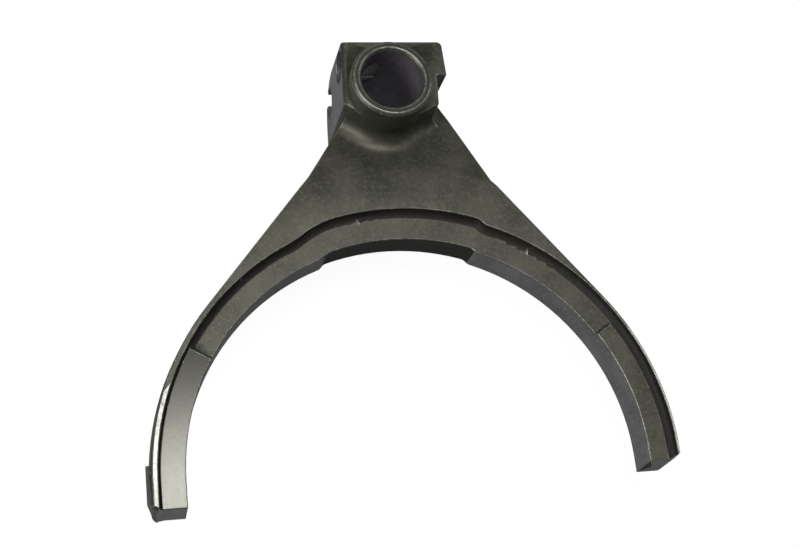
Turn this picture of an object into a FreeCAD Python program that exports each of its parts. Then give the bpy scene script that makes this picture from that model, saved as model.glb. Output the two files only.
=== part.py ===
import FreeCAD, Part
import math
import os
import Sketcher

# Gearbox selector fork, one casting: a hub that is bored for the selector rail, a web,
# and a half-round fork whose grooved arms straddle the clutch sleeve.
# Millimetres. The origin is on the rail axis at the hub's back face, +Z runs along the
# rail towards the collar, and +Y points from the fork to the hub's flat top.

doc = FreeCAD.newDocument("clutch_fork")

# ---------------------------------------------------------------- driving dimensions
SIZES = [
    # hub
    ("bore_diameter", 20.0, "bore for the selector rail"),
    ("collar_diameter", 26.6, "round barrel that carries the bore"),
    ("hub_length", 41.8, "hub back face to collar face"),
    ("block_length", 34.2, "hub back face to the front of the square block"),
    ("block_top", 16.9, "rail axis to the hub's flat top"),
    ("block_left", 14.0, "rail axis to the clamp face, at the flat top"),
    ("block_left_drop", 5.0, "clamp face below the rail axis"),
    ("block_right", 16.4, "rail axis to the wall under the ear"),
    ("block_right_drop", 5.7, "that wall below the rail axis"),
    ("block_back_radius", 15.0, "round on the top back edge of the block"),
    ("block_foot", 9.0, "half width of the block where it runs into the barrel"),
    ("block_foot_drop", 9.6, "that place below the rail axis"),
    ("ear_reach", 19.7, "rail axis to the side of the ear"),
    ("ear_rise", 4.8, "rail axis up to the underside of the ear"),
    ("ear_corner_radius", 1.8, "round on the ear's top edge"),
    ("block_corner_radius", 1.5, "round on the block's front left edge"),
    ("side_draft", 2.5, "degrees of casting draft on the block's sides"),
    ("hub_chamfer", 0.8, "chamfers of the collar and the bore"),
    # clamp bolt holes, drilled across the top of the bore
    ("front_hole_diameter", 10.8, "front clamp hole"),
    ("front_hole_rise", 10.8, "front clamp hole above the rail axis"),
    ("front_hole_setback", 27.9, "front clamp hole from the hub back face"),
    ("back_hole_diameter", 9.8, "back clamp hole"),
    ("back_hole_rise", 8.2, "back clamp hole above the rail axis"),
    ("back_hole_setback", 6.8, "back clamp hole from the hub back face"),
    ("hole_stop", 1.3, "blind ends of the clamp holes, short of the rail axis"),
    # fork
    ("centre_distance", 121.7, "rail axis to the axis of the sleeve"),
    ("throat_radius", 71.5, "inside of the tongue"),
    ("throat_relief", 1.1, "throat to its relieved crown"),
    ("arm_depth", 10.5, "throat to the outside of the arms, at the rim's middle"),
    ("left_rim", 2.4, "step to the outside of the left arm"),
    ("right_rim", 1.5, "step to the outside of the right arm"),
    ("crown_rim", 0.1, "step to the circle of the arms, at the crown"),
    ("rim_setback", 11.5, "hub back face to the back of the rim"),
    ("rim_width", 17.5, "rim, back to front"),
    ("front_step", 3.0, "tongue below the rim, front"),
    ("back_step", 3.0, "tongue below the rim, back"),
    ("step_fillet", 2.6, "round in the corner of the step"),
    ("throat_crown_angle", 18.0, "crown centre line to each end of the throat relief"),
    ("throat_bend_radius", 3.0, "bends at each end of the throat relief"),
    ("step_left_angle", 14.5, "crown centre line to the left end of the step relief"),
    ("step_left_bend_radius", 30.0, "bends at the left end of the step relief"),
    ("step_right_angle", 18.0, "crown centre line to the right end of the step relief"),
    ("step_right_bend_radius", 4.0, "bends at the right end of the step relief"),
    ("left_tip_length", 8.2, "left tip below the sleeve axis, at the rim's front"),
    ("right_tip_length", 4.0, "right tip below the sleeve axis, at the rim's front"),
    ("tip_corner_radius", 4.0, "round on the outer corner of each tip"),
    ("tip_draft", 4.5, "degrees of draft on the ends of the tips"),
    ("rim_draft", 4.5, "degrees of draft from the middle of the rim to its faces"),
    ("lug_height", 0.8, "lug outside the left tip"),
    ("lug_length", 14.3, "lug along the left tip"),
    ("lug_draft", 10.0, "degrees that the lug falls to both faces of the rim"),
    # wear pads that thrust on the sleeve, on the front of the tongue
    ("pad_height", 1.5, "pad above the tongue"),
    ("left_pad_angle", 59.4, "crown centre line to the start of the left pad"),
    ("right_pad_angle", 57.6, "crown centre line to the start of the right pad"),
    ("pad_ramp", 0.8, "chamfer at the start of each pad"),
    ("left_pad_width", 7.5, "left pad, from the throat outwards"),
    ("right_pad_width", 6.2, "right pad, from the throat outwards"),
    # web
    ("ridge_rise", 6.9, "outside of the arms to the ridge across the web"),
    ("web_slope", 17.0, "degrees that the web falls back above the ridge"),
    ("left_shoulder", 28.0, "left edge of the web at the shoulder"),
    ("left_shoulder_rise", 12.5, "left shoulder above the outside of the arms"),
    ("right_shoulder", 32.8, "right edge of the web at the shoulder"),
    ("right_shoulder_rise", 9.5, "right shoulder above the outside of the arms"),
    ("left_root", 11.0, "left edge of the web inside the hub"),
    ("left_root_drop", 2.0, "that place below the rail axis"),
    ("right_root", 17.4, "right edge of the web inside the hub"),
    ("right_root_rise", 8.0, "that place above the rail axis"),
    ("hub_fillet", 4.5, "fillet where the hub meets the web"),
]

sheet = doc.addObject("Spreadsheet::Sheet", "sizes")
for row, (alias, value, note) in enumerate(SIZES, start=1):
    sheet.set("A%d" % row, alias)
    sheet.set("B%d" % row, str(value))
    sheet.set("C%d" % row, note)
    sheet.setAlias("B%d" % row, alias)
workings = doc.addObject("Spreadsheet::Sheet", "workings")
doc.recompute()

body = doc.addObject("PartDesign::Body", "clutch_fork")
body.Label = "clutch_fork"

# ---------------------------------------------------------------- sketch helpers
ORIGIN_POINT = (-1, 1)
HORIZONTAL_AXIS = -1
START, END, CENTRE = 1, 2, 3
FORK_CENTRE = "-sizes.centre_distance"


def new_sketch(name, role, **offsets):
    """A sketch on one of the body's own planes, moved by expressions in its own x, y, z."""
    sketch = body.newObject("Sketcher::SketchObject", name)
    plane = [feature for feature in body.Origin.OriginFeatures if feature.Role == role][0]
    sketch.AttachmentSupport = [(plane, "")]
    sketch.MapMode = "FlatFace"
    for axis, expression in offsets.items():
        sketch.setExpression("AttachmentOffset.Base." + axis, expression)
    return sketch


def number(expression):
    """What an expression comes to now, for the first position of a sketch element."""
    workings.set("A1", "=" + expression)
    workings.recompute()
    value = workings.get("A1")
    return float(getattr(value, "Value", value))


def bind(sketch, *arguments, to):
    """Adds a dimension whose value follows an expression."""
    index = sketch.addConstraint(Sketcher.Constraint(*arguments, number(to)))
    sketch.setExpression("Constraints[%d]" % index, to)


def fix_point(sketch, element, end, x=None, y=None):
    """Dimensions a point from the sketch's origin."""
    if x is not None:
        bind(sketch, "DistanceX", *ORIGIN_POINT, element, end, to=x)
    if y is not None:
        bind(sketch, "DistanceY", *ORIGIN_POINT, element, end, to=y)


def add_line(sketch, start, finish):
    points = [FreeCAD.Vector(number(x), number(y), 0) for x, y in (start, finish)]
    return sketch.addGeometry(Part.LineSegment(*points))


def add_arc(sketch, radius, start_angle, end_angle):
    """An arc about the sketch's origin, counter-clockwise, with angles in degrees."""
    circle = Part.Circle(FreeCAD.Vector(0, 0, 0), FreeCAD.Vector(0, 0, 1), number(radius))
    angles = [math.radians(number(angle)) for angle in (start_angle, end_angle)]
    arc = sketch.addGeometry(Part.ArcOfCircle(circle, *angles))
    sketch.addConstraint(Sketcher.Constraint("Coincident", arc, CENTRE, *ORIGIN_POINT))
    bind(sketch, "Radius", arc, to=radius)
    return arc


def join(sketch, first, first_end, second, second_end, kind="Coincident"):
    sketch.addConstraint(Sketcher.Constraint(kind, first, first_end, second, second_end))


def add_polygon(sketch, corners):
    """A closed loop of lines through corners that are pairs of expressions."""
    lines = []
    for index, corner in enumerate(corners):
        following = corners[(index + 1) % len(corners)]
        lines.append(add_line(sketch, corner, following))
    for index, line in enumerate(lines):
        join(sketch, line, END, lines[(index + 1) % len(lines)], START)
        fix_point(sketch, line, START, *corners[index])
    return lines


def add_circle(sketch, x, y, diameter):
    centre = FreeCAD.Vector(number(x), number(y), 0)
    circle = sketch.addGeometry(
        Part.Circle(centre, FreeCAD.Vector(0, 0, 1), number(diameter) / 2))
    fix_point(sketch, circle, CENTRE, x, y)
    bind(sketch, "Diameter", circle, to=diameter)
    return circle


# ---------------------------------------------------------------- feature helpers
def extrude(kind, name, sketch, length=None, reverse=False, both_ways=False):
    """A Pad or a Pocket; without a length a Pocket goes through everything."""
    feature = body.newObject("PartDesign::" + kind, name)
    feature.Profile = sketch
    feature.Reversed = reverse
    if both_ways:
        feature.SideType = "Symmetric"
    if length is None:
        feature.Type = "ThroughAll"
    else:
        feature.setExpression("Length", length)
    sketch.Visibility = False
    doc.recompute()
    return feature


def edges_where(feature, test):
    """Names of the edges of a feature's shape that pass a test."""
    names = []
    for index, edge in enumerate(feature.Shape.Edges, start=1):
        if test(edge):
            names.append("Edge%d" % index)
    return names


def dress(kind, name, edge_names, size):
    """A Fillet or a Chamfer on edges of the body's present tip."""
    base = body.Tip
    feature = body.newObject("PartDesign::" + kind, name)
    feature.Base = (base, edge_names)
    feature.setExpression("Radius" if kind == "Fillet" else "Size", size)
    doc.recompute()
    return feature


def lies_at(edge, **levels):
    """True when the whole edge lies at the given x, y or z."""
    box = edge.BoundBox
    for axis, level in levels.items():
        low = getattr(box, axis.upper() + "Min")
        high = getattr(box, axis.upper() + "Max")
        if abs(low - level) > 0.01 or abs(high - level) > 0.01:
            return False
    return True


def from_fork_centre(point):
    return math.hypot(point.x, point.y + number("sizes.centre_distance"))


# ---------------------------------------------------------------- fork and web blank
RIM_FRONT = "sizes.rim_setback + sizes.rim_width"
RIM_MIDDLE = "sizes.rim_setback + sizes.rim_width / 2"
TONGUE_FRONT = RIM_FRONT + " - sizes.front_step"
TONGUE_BACK = "sizes.rim_setback + sizes.back_step"
TRIM_BOTTOM = "-3 * sizes.left_tip_length"
OUTER_RADIUS = "(sizes.throat_radius + sizes.arm_depth)"
LEFT_STEP = "(%s - sizes.left_rim)" % OUTER_RADIUS
RIGHT_STEP = "(%s - sizes.right_rim)" % OUTER_RADIUS
CROWN_STEP = "(%s - sizes.crown_rim)" % OUTER_RADIUS
RIDGE = "(%s + sizes.ridge_rise)" % OUTER_RADIUS
LEFT_SHOULDER_Y = "(%s + sizes.left_shoulder_rise)" % OUTER_RADIUS
RIGHT_SHOULDER_Y = "(%s + sizes.right_shoulder_rise)" % OUTER_RADIUS
LUG_REACH = "(%s + sizes.lug_height)" % OUTER_RADIUS
LUG_TOP = "(sizes.lug_length - sizes.left_tip_length)"


def tangent_angle(x, y):
    """Angle, above the line of the arms, where a line from a shoulder touches the rim."""
    reach = "sqrt(%s ^ 2 + %s ^ 2)" % (x, y)
    return "atan(%s / %s) - acos(%s / %s)" % (y, x, OUTER_RADIUS, reach)


def add_bend(sketch, radius, crown_radius, bend, crown_angle, side):
    """Two equal arcs that carry the outline from the crown arc back to a side arc.

    Returns the arc that meets the crown, the arc that meets the side, and the angle, from
    the crown centre line, where the side arc takes over.
    """
    near = "(%s - %s)" % (crown_radius, bend)
    far = "(%s + %s)" % (radius, bend)
    turn = ("acos((%s ^ 2 + %s ^ 2 - 4 * %s ^ 2) / (2 * %s * %s))"
            % (far, near, bend, far, near))
    swing = "asin(%s * sin(%s) / (2 * %s))" % (far, turn, bend)
    side_angle = "(%s * 1 deg + %s)" % (crown_angle, turn)
    joint_angle = "(%s * 1 deg + %s)" % (crown_angle, swing)

    def arc_about(reach, angle, first, last, turned):
        leaning = math.radians(90 + side * number(angle))
        centre = FreeCAD.Vector(math.cos(leaning), math.sin(leaning), 0)
        circle = Part.Circle(centre * number(reach), FreeCAD.Vector(0, 0, 1), number(bend))
        limits = sorted(90 + turned + side * number(limit) for limit in (first, last))
        arc = sketch.addGeometry(Part.ArcOfCircle(circle, *map(math.radians, limits)))
        bind(sketch, "Radius", arc, to=bend)
        return arc

    crown_bend = arc_about(near, crown_angle, crown_angle, joint_angle, 0)
    side_bend = arc_about(far, side_angle, side_angle, joint_angle, 180)
    return crown_bend, side_bend, side_angle


def crown_arcs(sketch, left, crown, right):
    """A crown arc between two side arcs, joined by bends. Returns the side arcs.

    Each side is (radius, angle where the crown arc ends, bend radius).
    """
    left_radius, left_angle, left_bend = left
    right_radius, right_angle, right_bend = right
    middle = add_arc(sketch, crown, "90 - " + right_angle, "90 + " + left_angle)
    fix_point(sketch, middle, START, x=crown + " * sin(%s)" % right_angle)
    fix_point(sketch, middle, END, x="-" + crown + " * sin(%s)" % left_angle)
    crown_end, side_start, stop = add_bend(sketch, left_radius, crown, left_bend,
                                           left_angle, 1)
    left_arc = add_arc(sketch, left_radius, "90 deg + " + stop, "180")
    join(sketch, middle, END, crown_end, START, "Tangent")
    join(sketch, crown_end, END, side_start, END, "Tangent")
    join(sketch, side_start, START, left_arc, START, "Tangent")
    crown_end, side_start, stop = add_bend(sketch, right_radius, crown, right_bend,
                                           right_angle, -1)
    right_arc = add_arc(sketch, right_radius, "0", "90 deg - " + stop)
    join(sketch, middle, START, crown_end, END, "Tangent")
    join(sketch, crown_end, START, side_start, START, "Tangent")
    join(sketch, side_start, END, right_arc, END, "Tangent")
    for arc, end in ((right_arc, START), (left_arc, END)):
        sketch.addConstraint(Sketcher.Constraint("PointOnObject", arc, end, HORIZONTAL_AXIS))
    return left_arc, right_arc


def draw_blank(sketch):
    """The outside of arms, web and hub root, closed straight across the tips."""
    outer = OUTER_RADIUS
    bottom = "-2 * sizes.left_tip_length"
    right_shoulder = ("sizes.right_shoulder", RIGHT_SHOULDER_Y)
    left_shoulder = ("-sizes.left_shoulder", LEFT_SHOULDER_Y)
    right_root = ("sizes.right_root", "sizes.centre_distance + sizes.right_root_rise")
    left_root = ("-sizes.left_root", "sizes.centre_distance - sizes.left_root_drop")
    right_touch = tangent_angle(*right_shoulder)
    left_touch = tangent_angle("sizes.left_shoulder", LEFT_SHOULDER_Y)
    right_arc = add_arc(sketch, outer, "0", right_touch)
    left_arc = add_arc(sketch, outer, "180 deg - (%s)" % left_touch, "180")
    for arc, end in ((right_arc, START), (left_arc, END)):
        sketch.addConstraint(Sketcher.Constraint("PointOnObject", arc, end, HORIZONTAL_AXIS))

    def touch_point(angle, side):
        return (side + outer + " * cos(%s)" % angle, outer + " * sin(%s)" % angle)

    right_flank = add_line(sketch, touch_point(right_touch, ""), right_shoulder)
    right_neck = add_line(sketch, right_shoulder, right_root)
    top = add_line(sketch, right_root, left_root)
    left_neck = add_line(sketch, left_root, left_shoulder)
    left_flank = add_line(sketch, left_shoulder, touch_point(left_touch, "-"))
    join(sketch, right_arc, END, right_flank, START, "Tangent")
    join(sketch, right_flank, END, right_neck, START)
    join(sketch, right_neck, END, top, START)
    join(sketch, top, END, left_neck, START)
    join(sketch, left_neck, END, left_flank, START)
    join(sketch, left_flank, END, left_arc, START, "Tangent")
    fix_point(sketch, right_flank, END, *right_shoulder)
    fix_point(sketch, right_neck, END, *right_root)
    fix_point(sketch, top, END, *left_root)
    fix_point(sketch, left_neck, END, *left_shoulder)

    left_wall = add_line(sketch, ("-" + outer, "0"), ("-" + outer, bottom))
    across = add_line(sketch, ("-" + outer, bottom), (outer, bottom))
    right_wall = add_line(sketch, (outer, bottom), (outer, "0"))
    join(sketch, left_arc, END, left_wall, START)
    join(sketch, left_wall, END, across, START)
    join(sketch, across, END, right_wall, START)
    join(sketch, right_wall, END, right_arc, START)
    for wall in (left_wall, right_wall):
        sketch.addConstraint(Sketcher.Constraint("Vertical", wall))
    sketch.addConstraint(Sketcher.Constraint("Horizontal", across))
    fix_point(sketch, left_wall, END, y=bottom)


def pad_both_ways(name, sketch, draft):
    """Pads a sketch at the middle of the rim to both faces, with casting draft."""
    pad = body.newObject("PartDesign::Pad", name)
    pad.Profile = sketch
    pad.SideType = "Two sides"
    pad.setExpression("Length", "sizes.rim_width / 2")
    pad.setExpression("Length2", "sizes.rim_width / 2")
    pad.setExpression("TaperAngle", "-" + draft)
    pad.setExpression("TaperAngle2", "-" + draft)
    doc.recompute()
    return pad


def make_blank():
    """Arms, web and hub root in one, drafted away from the middle of the rim."""
    sketch = new_sketch("blank_outline", "XY_Plane", y=FORK_CENTRE, z=RIM_MIDDLE)
    draw_blank(sketch)
    return pad_both_ways("fork_blank", sketch, "sizes.rim_draft")


def cut_half_round(name, level, left, crown, right, **extrusion):
    """A pocket inside a half round that runs straight down past both tips."""
    sketch = new_sketch(name + "_outline", "XY_Plane", y=FORK_CENTRE, z=level)
    left_arc, right_arc = crown_arcs(sketch, left, crown, right)
    left_x = "-" + left[0]
    right_x = right[0]
    right_wall = add_line(sketch, (right_x, "0"), (right_x, TRIM_BOTTOM))
    bottom = add_line(sketch, (right_x, TRIM_BOTTOM), (left_x, TRIM_BOTTOM))
    left_wall = add_line(sketch, (left_x, TRIM_BOTTOM), (left_x, "0"))
    join(sketch, right_arc, START, right_wall, START)
    join(sketch, right_wall, END, bottom, START)
    join(sketch, bottom, END, left_wall, START)
    join(sketch, left_wall, END, left_arc, END)
    for wall in (right_wall, left_wall):
        sketch.addConstraint(Sketcher.Constraint("Vertical", wall))
    sketch.addConstraint(Sketcher.Constraint("Horizontal", bottom))
    fix_point(sketch, right_wall, END, y=TRIM_BOTTOM)
    return extrude("Pocket", name, sketch, **extrusion)


def cut_throat():
    """The space for the sleeve, relieved at the crown."""
    side = ("sizes.throat_radius", "sizes.throat_crown_angle", "sizes.throat_bend_radius")
    crown = "(sizes.throat_radius + sizes.throat_relief)"
    return cut_half_round("throat", "sizes.hub_length", side, crown, side)


def cut_step(face, level, depth, upwards):
    """Lowers the tongue below the rim over the whole half round."""
    left = (LEFT_STEP, "sizes.step_left_angle", "sizes.step_left_bend_radius")
    right = (RIGHT_STEP, "sizes.step_right_angle", "sizes.step_right_bend_radius")
    return cut_half_round(face + "_step", level, left, CROWN_STEP, right,
                          length=depth, reverse=upwards)


def round_step(face, floor):
    """Rounds the corner between tongue and rim."""
    level = number(floor)
    foot = min(number(LEFT_STEP), number(RIGHT_STEP))

    def in_corner(edge):
        radii = [from_fork_centre(vertex.Point) for vertex in edge.Vertexes]
        return lies_at(edge, z=level) and min(radii) > foot - 0.5
    return dress("Fillet", face + "_step_round", edges_where(body.Tip, in_corner),
                 "sizes.step_fillet")


def make_pad(side):
    """A raised wear pad on the front of one arm, from its ramp past the tip."""
    sketch = new_sketch(side + "_pad_outline", "XY_Plane", y=FORK_CENTRE, z=TONGUE_FRONT)
    inner = "sizes.throat_radius"
    outer = "(sizes.throat_radius + sizes.%s_pad_width)" % side
    bottom = "-1.5 * sizes.left_tip_length"
    rise = "(90 - sizes.%s_pad_angle)" % side
    if side == "left":
        angles, near, far, sign = ("180 - " + rise, "180"), START, END, "-"
    else:
        angles, near, far, sign = ("0", rise), END, START, ""
    inner_arc = add_arc(sketch, inner, *angles)
    outer_arc = add_arc(sketch, outer, *angles)
    inner_start = (sign + inner + " * cos(%s)" % rise, inner + " * sin(%s)" % rise)
    outer_start = (sign + outer + " * cos(%s)" % rise, outer + " * sin(%s)" % rise)
    start_edge = add_line(sketch, inner_start, outer_start)
    outer_wall = add_line(sketch, (sign + outer, "0"), (sign + outer, bottom))
    end_edge = add_line(sketch, (sign + outer, bottom), (sign + inner, bottom))
    inner_wall = add_line(sketch, (sign + inner, bottom), (sign + inner, "0"))
    join(sketch, inner_arc, near, start_edge, START)
    join(sketch, start_edge, END, outer_arc, near)
    join(sketch, outer_arc, far, outer_wall, START)
    join(sketch, outer_wall, END, end_edge, START)
    join(sketch, end_edge, END, inner_wall, START)
    join(sketch, inner_wall, END, inner_arc, far)
    fix_point(sketch, inner_arc, near, y=inner_start[1])
    fix_point(sketch, outer_arc, near, y=outer_start[1])
    for arc in (inner_arc, outer_arc):
        sketch.addConstraint(Sketcher.Constraint("PointOnObject", arc, far, HORIZONTAL_AXIS))
    for wall in (outer_wall, inner_wall):
        sketch.addConstraint(Sketcher.Constraint("Vertical", wall))
    sketch.addConstraint(Sketcher.Constraint("Horizontal", end_edge))
    fix_point(sketch, outer_wall, END, y=bottom)
    return extrude("Pad", side + "_pad", sketch, length="sizes.pad_height")


def ramp_pads():
    """Chamfers the start of both pads."""
    top = number(TONGUE_FRONT + " + sizes.pad_height")
    sleeve_axis = -number("sizes.centre_distance")

    def is_start(edge):
        if not lies_at(edge, z=top) or edge.Curve.TypeId != "Part::GeomLine":
            return False
        inner, outer = sorted(from_fork_centre(vertex.Point) for vertex in edge.Vertexes)
        return outer - inner > 1 and edge.CenterOfMass.y > sleeve_axis + 1
    return dress("Chamfer", "pad_ramps", edges_where(body.Tip, is_start), "sizes.pad_ramp")


def slope_web():
    """Cuts the web back above the ridge, before the hub is added."""
    sketch = new_sketch("web_slope_outline", "YZ_Plane", x=FORK_CENTRE)
    beyond = "(sizes.centre_distance + sizes.block_top)"
    low = "(%s - (%s - %s) * tan(sizes.web_slope))" % (RIM_FRONT, beyond, RIDGE)
    top = "(%s + sizes.front_step)" % RIM_FRONT
    add_polygon(sketch, [(RIDGE, RIM_FRONT), (beyond, low), (beyond, top), (RIDGE, top)])
    return extrude("Pocket", "web_slope", sketch, length="4 * " + OUTER_RADIUS,
                   both_ways=True)


# ---------------------------------------------------------------- hub
def make_block():
    """The square part of the hub, with a drafted clamp face and an ear opposite."""
    sketch = new_sketch("block_outline", "XY_Plane")
    left_bottom = ("-(sizes.block_left + (sizes.block_top + sizes.block_left_drop)"
                   " * tan(sizes.side_draft))")
    ear_bottom = ("sizes.ear_reach + (sizes.block_top - sizes.ear_rise)"
                  " * tan(sizes.side_draft)")
    wall_top = ("sizes.block_right + (sizes.ear_rise + sizes.block_right_drop)"
                " * tan(sizes.side_draft)")
    add_polygon(sketch, [
        ("-sizes.block_left", "sizes.block_top"),
        (left_bottom, "-sizes.block_left_drop"),
        ("-sizes.block_foot", "-sizes.block_foot_drop"),
        ("sizes.block_foot", "-sizes.block_foot_drop"),
        ("sizes.block_right", "-sizes.block_right_drop"),
        (wall_top, "sizes.ear_rise"),
        (ear_bottom, "sizes.ear_rise"),
        ("sizes.ear_reach", "sizes.block_top"),
    ])
    return extrude("Pad", "hub_block", sketch, length="sizes.block_length")


def round_block():
    """The large round on the top back edge, and the small ones along the ear and the front."""
    top = number("sizes.block_top")
    front = number("sizes.block_length")
    left = -number("sizes.block_left")
    ear = number("sizes.ear_reach")

    def is_front_left(edge):
        box = edge.BoundBox
        return lies_at(edge, z=front) and box.XMax < left + 0.01 and box.YMax > top - 0.01
    dress("Fillet", "block_corner_round", edges_where(body.Tip, is_front_left),
          "sizes.block_corner_radius")
    dress("Fillet", "block_back_round",
          edges_where(body.Tip, lambda edge: lies_at(edge, y=top, z=0)),
          "sizes.block_back_radius")
    return dress("Fillet", "ear_round",
                 edges_where(body.Tip, lambda edge: lies_at(edge, x=ear, y=top)),
                 "sizes.ear_corner_radius")


def make_barrel():
    sketch = new_sketch("barrel_outline", "XY_Plane")
    add_circle(sketch, "0", "0", "sizes.collar_diameter")
    return extrude("Pad", "barrel", sketch, length="sizes.hub_length")


def round_root():
    """Fillets the front of the web into the barrel and the sides of the block."""
    slope = math.tan(math.radians(number("sizes.web_slope")))
    ridge = number(RIDGE + " - sizes.centre_distance")
    front = number(RIM_FRONT)
    under = -number("sizes.collar_diameter")
    beside = number("sizes.ear_reach")
    ear_rise = number("sizes.ear_rise")

    def on_slope(point):
        return abs(front - (point.y - ridge) * slope - point.z) < 0.02

    def is_root(edge):
        middle = edge.valueAt((edge.FirstParameter + edge.LastParameter) / 2)
        points = [vertex.Point for vertex in edge.Vertexes] + [middle]
        box = edge.BoundBox
        between = box.YMin > under and box.XMax < beside and not lies_at(edge, y=ear_rise)
        return between and all(on_slope(point) for point in points)
    return dress("Fillet", "root_fillet", edges_where(body.Tip, is_root), "sizes.hub_fillet")


def bore_hub():
    sketch = new_sketch("bore_outline", "XY_Plane", z="sizes.hub_length")
    add_circle(sketch, "0", "0", "sizes.bore_diameter")
    return extrude("Pocket", "bore", sketch)


def drill_clamp_hole(place):
    """A blind hole from the clamp face that breaks into the top of the bore."""
    hole = "sizes.%s_hole_" % place
    sketch = new_sketch(place + "_hole_outline", "YZ_Plane", z="-sizes.ear_reach")
    add_circle(sketch, hole + "rise", hole + "setback", hole + "diameter")
    return extrude("Pocket", place + "_clamp_hole", sketch,
                   length="sizes.ear_reach - sizes.hole_stop", reverse=True)


def chamfer_collar():
    """Chamfers the bore and the barrel at the collar face."""
    level = number("sizes.hub_length")
    return dress("Chamfer", "collar_chamfers",
                 edges_where(body.Tip, lambda edge: lies_at(edge, z=level)),
                 "sizes.hub_chamfer")


# ---------------------------------------------------------------- tips
def make_lug():
    """A low lug on the outside of the left tip, highest at the middle of the rim."""
    sketch = new_sketch("lug_outline", "XY_Plane", y=FORK_CENTRE, z=RIM_MIDDLE)
    bottom = "-2 * sizes.left_tip_length"
    outside = "-" + LUG_REACH
    inside = "-sizes.throat_radius"
    add_polygon(sketch, [(outside, LUG_TOP), (outside, bottom), (inside, bottom),
                         (inside, LUG_TOP)])
    return pad_both_ways("left_lug", sketch, "sizes.lug_draft")


def trim_tip(side, reach):
    """Cuts one tip square and rounds its outer corner, through its whole width."""
    name = "left" if side else "right"
    sketch = new_sketch(name + "_tip_outline", "XY_Plane", y=FORK_CENTRE, z=RIM_FRONT)
    radius = "sizes.tip_corner_radius"
    bottom = "-sizes.%s_tip_length" % name
    inside = side + "(sizes.throat_radius - %s)" % radius
    centre_x = side + "(%s - %s)" % (reach, radius)
    centre_y = "(%s + %s)" % (bottom, radius)
    beyond_x = side + "(%s + %s)" % (reach, radius)
    first, last = (180, 270) if side else (270, 360)
    circle = Part.Circle(FreeCAD.Vector(number(centre_x), number(centre_y), 0),
                         FreeCAD.Vector(0, 0, 1), number(radius))
    corner = sketch.addGeometry(
        Part.ArcOfCircle(circle, math.radians(first), math.radians(last)))
    wall_end, face_end = (START, END) if side else (END, START)
    end_face = add_line(sketch, (centre_x, bottom), (inside, bottom))
    inner_wall = add_line(sketch, (inside, bottom), (inside, TRIM_BOTTOM))
    floor = add_line(sketch, (inside, TRIM_BOTTOM), (beyond_x, TRIM_BOTTOM))
    outer_wall = add_line(sketch, (beyond_x, TRIM_BOTTOM), (beyond_x, centre_y))
    roof = add_line(sketch, (beyond_x, centre_y), (side + reach, centre_y))
    join(sketch, corner, face_end, end_face, START)
    join(sketch, end_face, END, inner_wall, START)
    join(sketch, inner_wall, END, floor, START)
    join(sketch, floor, END, outer_wall, START)
    join(sketch, outer_wall, END, roof, START)
    join(sketch, roof, END, corner, wall_end)
    fix_point(sketch, corner, CENTRE, x=centre_x, y=centre_y)
    bind(sketch, "Radius", corner, to=radius)
    for line in (inner_wall, outer_wall):
        sketch.addConstraint(Sketcher.Constraint("Vertical", line))
    for line in (end_face, floor, roof):
        sketch.addConstraint(Sketcher.Constraint("Horizontal", line))
    fix_point(sketch, end_face, START, x=centre_x)
    fix_point(sketch, end_face, END, x=inside)
    fix_point(sketch, roof, END, y=centre_y)
    fix_point(sketch, outer_wall, START, x=beyond_x, y=TRIM_BOTTOM)
    trim = extrude("Pocket", name + "_tip_trim", sketch, length="2 * sizes.rim_width")
    trim.setExpression("TaperAngle", "-sizes.tip_draft")
    doc.recompute()
    return trim


# ---------------------------------------------------------------- build
make_blank()
make_lug()
cut_throat()
cut_step("front", RIM_FRONT, "sizes.front_step", upwards=False)
cut_step("back", "sizes.rim_setback", "sizes.back_step", upwards=True)
round_step("front", TONGUE_FRONT)
round_step("back", TONGUE_BACK)
make_pad("left")
make_pad("right")
ramp_pads()
slope_web()
trim_tip("-", LUG_REACH)
trim_tip("", OUTER_RADIUS)
make_block()
round_block()
make_barrel()
round_root()
bore_hub()
drill_clamp_hole("front")
drill_clamp_hole("back")
chamfer_collar()

# ---------------------------------------------------------------- finish
doc.recompute()
for item in doc.Objects:
    if "Invalid" in item.State or "Error" in item.State:
        raise RuntimeError("%s failed: %s" % (item.Label, item.State))
if body.Shape.isNull() or not body.Shape.isValid():
    raise RuntimeError("the fork is not a valid solid")
os.makedirs("parts", exist_ok=True)
body.Shape.exportStep(os.path.join("parts", body.Label + ".step"))
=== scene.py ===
import math

import bmesh
import bpy
from mathutils import Matrix, Vector
from mathutils.bvhtree import BVHTree


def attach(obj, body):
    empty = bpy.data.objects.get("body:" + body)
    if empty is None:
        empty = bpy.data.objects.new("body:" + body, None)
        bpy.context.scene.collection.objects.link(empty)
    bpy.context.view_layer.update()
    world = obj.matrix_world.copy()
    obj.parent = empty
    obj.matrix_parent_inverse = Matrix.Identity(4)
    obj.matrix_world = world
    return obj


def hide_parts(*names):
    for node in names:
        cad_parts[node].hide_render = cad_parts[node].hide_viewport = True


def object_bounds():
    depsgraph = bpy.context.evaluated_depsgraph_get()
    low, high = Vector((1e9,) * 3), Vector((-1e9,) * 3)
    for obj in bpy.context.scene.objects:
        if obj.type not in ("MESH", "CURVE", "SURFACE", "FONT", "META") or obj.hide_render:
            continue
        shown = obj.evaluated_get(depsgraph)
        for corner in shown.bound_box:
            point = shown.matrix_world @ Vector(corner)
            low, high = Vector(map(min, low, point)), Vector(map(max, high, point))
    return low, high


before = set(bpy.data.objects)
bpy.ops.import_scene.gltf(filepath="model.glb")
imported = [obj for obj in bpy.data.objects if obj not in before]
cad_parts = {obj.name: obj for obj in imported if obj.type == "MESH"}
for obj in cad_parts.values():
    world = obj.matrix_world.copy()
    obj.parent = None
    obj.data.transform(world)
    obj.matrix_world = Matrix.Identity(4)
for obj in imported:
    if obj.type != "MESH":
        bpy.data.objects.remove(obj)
cad_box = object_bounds()

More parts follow.
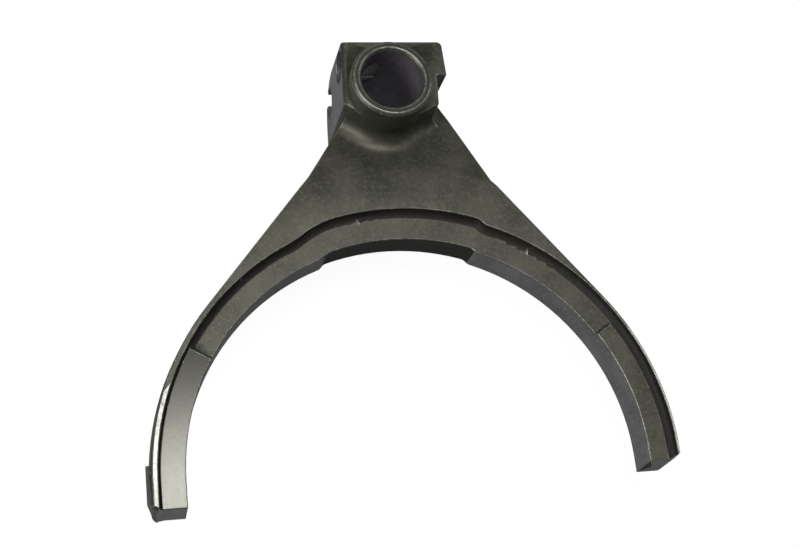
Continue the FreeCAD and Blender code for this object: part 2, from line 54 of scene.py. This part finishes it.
MM = 0.001
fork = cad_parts["clutch_fork"]

# Where the casting's surfaces lie, in metres: its finishes and its painted light and shade
# follow them.
SLEEVE_AXIS_Y = -121.7 * MM
THROAT_RADIUS = 71.5 * MM
THROAT_RELIEF = 1.1 * MM
STEP_INSIDE = 76.5 * MM
STEP_OUTSIDE = 81.95 * MM
TONGUE_FRONT = 26.0 * MM
PAD_FRONT = 27.5 * MM
PAD_TOP_Y = -60.0 * MM
RIM_FRONT = 29.0 * MM
CREST_TOP_LEFT_Y = -94.0 * MM
CREST_TOP_RIGHT_Y = -84.0 * MM
BORE_RADIUS = 10.0 * MM
HUB_LENGTH = 41.8 * MM
BLOCK_LEFT = 13.9 * MM
BLOCK_FACE_REACH = 17.3 * MM
HOLES_LOW_Y = 3.0 * MM
HOLES_HIGH_Y = 16.5 * MM
HOLES_BACK_Z = 1.0 * MM
HOLES_FRONT_Z = 33.7 * MM

# How near a face has to be to count as lying on a surface.
HAIR = 0.05 * MM
NEAR = 0.1 * MM
CLOSE = 0.2 * MM
RELIEF_START = 0.3 * MM
RIM_SLACK = 0.5 * MM

# How much of a face's normal lies along an axis.
SQUARE_ON = 0.98
NEARLY_SQUARE_ON = 0.9
MOSTLY = 0.6
HALF = 0.5
EDGE_ON = 0.2

# Features of the cast skin, in metres.
MOTTLE = 13 * MM
SPECKLE = 1.3 * MM
PITS = 0.55 * MM
SKIN_RELIEF = 0.22 * MM
PAD_SPECKLE = 1.6 * MM
# Where the left pad's painted highlight starts and where it is brightest, along y.
PAD_DULL_Y = -80 * MM
PAD_BRIGHT_Y = -126 * MM

# Rounds on the casting's outer edges.
EDGE_ROUND = 0.32 * MM
OUTER_ROUND = 1.0 * MM
SHARP = math.radians(30)
WELD = 0.002 * MM
STRAY = 0.5 * MM
PROUD = 0.02 * MM

# Places in the casting's list of finishes.
SKIN, EDGE, MACHINED, BORED, PAD, CORNER, TIP, CREST, DARK_EDGE = range(9)

# Each lamp: name, place, what it faces, size, watts.
LAMPS = (
    ("left_softbox", (-0.75, -0.25, 0.55), (0, -0.06, 0.02), (0.5, 0.5), 5),
    ("right_softbox", (0.8, 0.1, 0.45), (0, -0.06, 0.02), (0.3, 0.8), 1.3),
    ("top_softbox", (-0.02, 0.06, 0.95), (0, -0.06, 0.02), (0.3, 0.3), 3.8),
    ("back_softbox", (0.1, 0.55, 0.75), (0, -0.03, 0.02), (0.5, 0.3), 0.5),
)
WORLD_LIGHT = 0.12
WHITE = (1, 1, 1, 1)
FLOOR_PALE = (0.9, 0.9, 0.9, 1)
FLOOR_MIRRORED = (0.35, 0.35, 0.35, 1)
FLOOR_GLOW = 1.06
FLOOR_GLOW_SHARE = 0.9
FLOOR_HALF_WIDTH = 3.0

CAMERA_PLACE = Vector((-99.26, -199.85, 433.30)) * MM
CAMERA_RIGHT = Vector((0.9743, -0.1072, 0.1982))
CAMERA_BACK = Vector((-0.2224, -0.3146, 0.9228))
CAMERA_LENS = 63.0
CAMERA_SENSOR = 36.0


# ------------------------------------------------------------------ shader arithmetic
class Value:
    """A number that varies over a surface: arithmetic on it adds Math nodes."""

    def __init__(self, shader, socket):
        self.shader = shader
        self.socket = socket

    def combine(self, operation, other):
        return self.shader.add("ShaderNodeMath", {"operation": operation}, {0: self, 1: other})

    def __add__(self, other):
        return self.combine("ADD", other)

    __radd__ = __add__

    def __mul__(self, other):
        return self.combine("MULTIPLY", other)

    __rmul__ = __mul__

    def __sub__(self, other):
        return self.combine("SUBTRACT", other)

    def __rsub__(self, other):
        return (self * -1) + other


class Shader:
    """The nodes of one material or world."""

    def __init__(self, owner):
        owner.use_nodes = True
        self.tree = owner.node_tree
        self.tree.nodes.clear()

    def add(self, kind, settings=None, inputs=None, output=0):
        """Adds a node with its settings, then its inputs. Returns one of its outputs."""
        node = self.tree.nodes.new(kind)
        for name, setting in (settings or {}).items():
            if name == "stops":
                self.set_stops(node.color_ramp, setting)
            else:
                setattr(node, name, setting)
        for name, given in (inputs or {}).items():
            if isinstance(given, Value):
                self.tree.links.new(given.socket, node.inputs[name])
            else:
                node.inputs[name].default_value = given
        return Value(self, node.outputs[output]) if node.outputs else node

    def set_stops(self, ramp, stops):
        while len(ramp.elements) < len(stops):
            ramp.elements.new(1)
        for element, (position, level) in zip(ramp.elements, stops):
            element.position = position
            element.color = (level, level, level, 1)

    def place(self, output="Object"):
        return self.add("ShaderNodeTexCoord", output=output)

    def grain(self, size, detail=3.0, roughness=0.55):
        """Noise with features of about that size, in metres, from 0 to 1."""
        return self.add("ShaderNodeTexNoise", {},
                        {"Vector": self.place(), "Scale": 1 / size, "Detail": detail,
                         "Roughness": roughness})

    def ramp(self, value, *stops):
        return self.add("ShaderNodeValToRGB", {"stops": stops}, {"Fac": value})

    def mix_colour(self, factor, first, second):
        return self.add("ShaderNodeMix", {"data_type": "RGBA"},
                        {0: factor, 6: first, 7: second}, output=2)

    def mix_surface(self, factor, first, second):
        return self.add("ShaderNodeMixShader", {}, {0: factor, 1: first, 2: second})

    def seen_directly(self):
        return self.add("ShaderNodeLightPath", output="Is Camera Ray")


def colour(red, green, blue):
    """Display levels from 0 to 255 as linear light."""
    def linear(level):
        level = level / 255
        return level / 12.92 if level <= 0.04045 else ((level + 0.055) / 1.055) ** 2.4
    return (linear(red), linear(green), linear(blue), 1.0)


# ------------------------------------------------------------------ materials
def cast_skin(name, dark, light, speck, roughness, metallic=0.6, bump=0.3):
    """Phosphated cast iron: mottled, with a fine grain."""
    material = bpy.data.materials.new(name)
    shader = Shader(material)
    mottle = shader.grain(MOTTLE, detail=4)
    speckle = shader.grain(SPECKLE, detail=5, roughness=0.7)
    pits = shader.grain(PITS, detail=2)
    mottled = shader.mix_colour(shader.ramp(mottle, (0.35, 0), (0.68, 1)), dark, light)
    base = shader.mix_colour(shader.ramp(speckle, (0.48, 0), (0.72, 0.8)), mottled, speck)
    rough = roughness + (speckle - 0.5) * 0.18 + (mottle - 0.5) * 0.12
    height = speckle * 0.6 + pits * 0.4
    relief = shader.add("ShaderNodeBump", {},
                        {"Height": height, "Strength": bump, "Distance": SKIN_RELIEF})
    surface = shader.add("ShaderNodeBsdfPrincipled", {},
                         {"Base Color": base, "Roughness": rough, "Metallic": metallic,
                          "Normal": relief})
    shader.add("ShaderNodeOutputMaterial", {}, {"Surface": surface})
    return material


def pad_painted_highlight():
    """The left pad, with a painted highlight that grows brighter towards the tip."""
    material = bpy.data.materials.new("pad_painted_highlight")
    shader = Shader(material)
    along = shader.add("ShaderNodeSeparateXYZ", {}, {"Vector": shader.place()}, output="Y")
    # Painted highlight, growing along y towards the tip; the roughness falls with it.
    highlight_share = shader.add("ShaderNodeMapRange", {"interpolation_type": "SMOOTHSTEP"},
                      {"Value": along, "From Min": PAD_DULL_Y, "From Max": PAD_BRIGHT_Y})
    speckle = shader.grain(PAD_SPECKLE, detail=5, roughness=0.7)
    dull = shader.mix_colour(speckle, colour(50, 49, 45), colour(70, 69, 63))
    bright = shader.mix_colour(speckle, colour(104, 103, 96), colour(164, 163, 153))
    base = shader.mix_colour(highlight_share, dull, bright)
    rough = 0.50 - highlight_share * 0.08 + (speckle - 0.5) * 0.12
    surface = shader.add("ShaderNodeBsdfPrincipled", {},
                         {"Base Color": base, "Roughness": rough, "Metallic": 0.6})
    shader.add("ShaderNodeOutputMaterial", {}, {"Surface": surface})
    return material


def make_finishes():
    """The casting's finishes and its painted light and shade, in the order of their places."""
    skin = cast_skin("phosphated_iron", colour(62, 62, 54), colour(84, 83, 73),
                     colour(100, 99, 90), 0.48)
    # Edge wear and a painted highlight: a lighter, shinier band on the sharp edges.
    edge = cast_skin("edge_wear_and_highlight", colour(84, 84, 78), colour(120, 120, 112),
                     colour(160, 160, 152), 0.38, metallic=0.75, bump=0.2)
    machined = cast_skin("machined_iron", colour(44, 43, 39), colour(54, 53, 48),
                         colour(64, 63, 58), 0.46, metallic=0.6, bump=0.1)
    bored = cast_skin("bored_iron", colour(96, 90, 98), colour(128, 122, 132),
                      colour(140, 136, 146), 0.42, metallic=0.5, bump=0.1)
    # Painted shade: near-black on the step walls and the throat's relief.
    corner = cast_skin("painted_corner_shade", colour(22, 20, 17), colour(34, 32, 27),
                       colour(44, 42, 36), 0.62, metallic=0.3)
    # Painted light: a lighter grey on the left flat, the throat's wall and the tip ends.
    tip = cast_skin("painted_light_grey", colour(104, 102, 104), colour(130, 128, 130),
                    colour(150, 148, 150), 0.45, bump=0.15)
    # Painted highlight: near-white on the rim tops, with dark specks.
    crest = cast_skin("crest_painted_highlight", colour(190, 189, 182), colour(250, 250, 246),
                      colour(60, 58, 52), 0.40, metallic=0.2, bump=0.4)
    # Painted shade: dark on the rounds outside the rims.
    rim_edge_painted_shade = cast_skin("rim_edge_painted_shade", colour(34, 33, 29), colour(48, 47, 41),
                          colour(66, 65, 58), 0.58, metallic=0.3)
    return [skin, edge, machined, bored, pad_painted_highlight(), corner, tip, crest, rim_edge_painted_shade]


def floor_white():
    """White to the eye and still shaded by the fork; duller in what the iron mirrors."""
    material = bpy.data.materials.new("floor_white")
    shader = Shader(material)
    seen = shader.seen_directly()
    mirrored = shader.add("ShaderNodeBsdfDiffuse", {}, {"Color": FLOOR_MIRRORED})
    pale = shader.add("ShaderNodeBsdfDiffuse", {}, {"Color": FLOOR_PALE})
    plain = shader.mix_surface(seen, mirrored, pale)
    glow = shader.add("ShaderNodeEmission", {}, {"Color": WHITE, "Strength": FLOOR_GLOW})
    surface = shader.mix_surface(seen * FLOOR_GLOW_SHARE, plain, glow)
    shader.add("ShaderNodeOutputMaterial", {}, {"Surface": surface})
    return material


# ------------------------------------------------------------------ the casting
def finish_of(face):
    """Which finish or painted light or shade a face of the casting gets, by where it lies and
    which way it faces.
    """
    place = face.calc_center_median()
    facing = face.normal
    from_rail = math.hypot(place.x, place.y)
    from_sleeve = math.hypot(place.x, place.y - SLEEVE_AXIS_Y)
    if from_rail < BORE_RADIUS + HAIR:
        return BORED
    if facing.z > NEARLY_SQUARE_ON and place.z > HUB_LENGTH - NEAR:
        return MACHINED
    # The left flat gets the painted light grey.
    on_block_face = place.x < -BLOCK_LEFT and abs(place.y) < BLOCK_FACE_REACH
    if on_block_face and facing.x < -SQUARE_ON:
        return TIP
    in_block = -BLOCK_LEFT < place.x < 0 and HOLES_LOW_Y < place.y < HOLES_HIGH_Y
    in_holes = in_block and HOLES_BACK_Z < place.z < HOLES_FRONT_Z
    if in_holes and abs(facing.x) < SQUARE_ON:
        return BORED
    # The throat's wall gets the painted light grey, its relief painted shade.
    in_throat = from_sleeve < THROAT_RADIUS + THROAT_RELIEF + NEAR
    if in_throat and abs(facing.z) < EDGE_ON:
        return TIP if from_sleeve < THROAT_RADIUS + RELIEF_START else CORNER
    # The left pad gets its own material with the painted highlight.
    on_pads = abs(place.z - PAD_FRONT) < CLOSE and facing.z > MOSTLY
    if on_pads and place.y < PAD_TOP_Y and place.x < 0:
        return PAD
    # The step's walls inside the rim get painted shade.
    in_step = TONGUE_FRONT + HAIR < place.z < RIM_FRONT - HAIR and from_sleeve > STEP_INSIDE
    if in_step and facing.z < SQUARE_ON:
        return CORNER if from_sleeve < STEP_OUTSIDE else SKIN
    # The tip ends facing down the y axis get the painted light grey.
    if facing.y < -NEARLY_SQUARE_ON and place.y < SLEEVE_AXIS_Y:
        return TIP
    # The rim tops get the painted highlight.
    crest_top = CREST_TOP_LEFT_Y if place.x < 0 else CREST_TOP_RIGHT_Y
    on_crest = place.z > RIM_FRONT - HAIR and place.y < crest_top
    if on_crest and facing.z > SQUARE_ON:
        return CREST
    return SKIN


def is_outer_rim(edge):
    """Whether this is part of the long front edge outside a rim."""
    if len(edge.link_faces) != 2:
        return False
    for vertex in edge.verts:
        outward = vertex.co.xy - Vector((0, SLEEVE_AXIS_Y))
        off_rim = abs(vertex.co.z - RIM_FRONT) > NEAR
        if off_rim or outward.length < STEP_OUTSIDE - RIM_SLACK:
            return False
    flat, wall = sorted(edge.link_faces, key=lambda face: -face.normal.z)
    meets_wall = flat.normal.z > SQUARE_ON and wall.normal.z < HALF
    return meets_wall and wall.normal.xy.dot(outward) > 0


def is_sharp(edge):
    """Whether this is an outer corner that handling has dulled."""
    return len(edge.link_faces) == 2 and edge.is_convex and edge.calc_face_angle() > SHARP


def round_edges(form, edges, size, segments, finish):
    bmesh.ops.bevel(form, geom=edges, offset=size, offset_type="OFFSET", segments=segments,
                    profile=0.5, affect="EDGES", clamp_overlap=False, material=finish,
                    harden_normals=False, loop_slide=True)


def settle(form, solid):
    """Puts corners that a bevel pushed off the solid back on its surface."""
    for vertex in form.verts:
        spot, normal, _, gap = solid.find_nearest(vertex.co)
        if gap > STRAY or (vertex.co - spot).dot(normal) > PROUD:
            vertex.co = spot


def make_casting():
    """The casting with rounded edges, in place of its plain solid."""
    mesh = fork.data.copy()
    mesh.name = "casting"
    casting = bpy.data.objects.new("casting", mesh)
    bpy.context.collection.objects.link(casting)
    casting.matrix_world = fork.matrix_world.copy()
    mesh.materials.clear()
    for finish in make_finishes():
        mesh.materials.append(finish)
    form = bmesh.new()
    form.from_mesh(mesh)
    bmesh.ops.remove_doubles(form, verts=form.verts, dist=WELD)
    form.normal_update()
    for face in form.faces:
        face.material_index = finish_of(face)
        face.smooth = True
    solid = BVHTree.FromBMesh(form)
    # Rounds the outer rim edges and paints shade on the rounds.
    outer = [edge for edge in form.edges if is_outer_rim(edge)]
    round_edges(form, outer, OUTER_ROUND, 3, DARK_EDGE)
    # Rounds the sharp edges, with edge wear and a painted highlight on the rounds.
    sharp = [edge for edge in form.edges if is_sharp(edge)]
    round_edges(form, sharp, EDGE_ROUND, 2, EDGE)
    settle(form, solid)
    bmesh.ops.triangulate(form, faces=form.faces)
    form.to_mesh(mesh)
    form.free()
    weighted = casting.modifiers.new("even_normals", "WEIGHTED_NORMAL")
    weighted.keep_sharp = True
    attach(casting, "root")
    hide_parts("clutch_fork")


# ------------------------------------------------------------------ stage, lamps, camera
def add_floor():
    half = FLOOR_HALF_WIDTH
    level = cad_box[0][2]
    corners = [(-half, -half, level), (half, -half, level), (half, half, level),
               (-half, half, level)]
    mesh = bpy.data.meshes.new("floor")
    mesh.from_pydata(corners, [], [(0, 1, 2, 3)])
    floor = bpy.data.objects.new("floor", mesh)
    bpy.context.collection.objects.link(floor)
    floor.data.materials.append(floor_white())


def add_lamp(name, place, target, size, watts):
    lamp = bpy.data.lights.new(name, "AREA")
    lamp.shape = "RECTANGLE"
    lamp.size, lamp.size_y = size
    lamp.energy = watts
    holder = bpy.data.objects.new(name, lamp)
    bpy.context.collection.objects.link(holder)
    holder.location = place
    direction = Vector(target) - Vector(place)
    holder.rotation_euler = direction.to_track_quat("-Z", "Y").to_euler()


def add_world():
    """Soft light all round, pure white to the camera."""
    world = bpy.data.worlds.new("studio")
    bpy.context.scene.world = world
    shader = Shader(world)
    soft = shader.add("ShaderNodeBackground", {}, {"Color": WHITE, "Strength": WORLD_LIGHT})
    white = shader.add("ShaderNodeBackground", {}, {"Color": WHITE, "Strength": 1.0})
    mixed = shader.mix_surface(shader.seen_directly(), soft, white)
    shader.add("ShaderNodeOutputWorld", {}, {"Surface": mixed})


def add_camera():
    lens = bpy.data.cameras.new("camera")
    lens.sensor_width = CAMERA_SENSOR
    lens.lens = CAMERA_LENS
    camera = bpy.data.objects.new("camera", lens)
    bpy.context.collection.objects.link(camera)
    back = CAMERA_BACK.normalized()
    up = back.cross(CAMERA_RIGHT.normalized()).normalized()
    right = up.cross(back)
    turn = Matrix((right, up, back)).transposed().to_4x4()
    camera.matrix_world = Matrix.Translation(CAMERA_PLACE) @ turn
    bpy.context.scene.camera = camera


bpy.context.scene.view_settings.view_transform = "Standard"
add_camera()
add_world()
add_floor()
for settings in LAMPS:
    add_lamp(*settings)
make_casting()
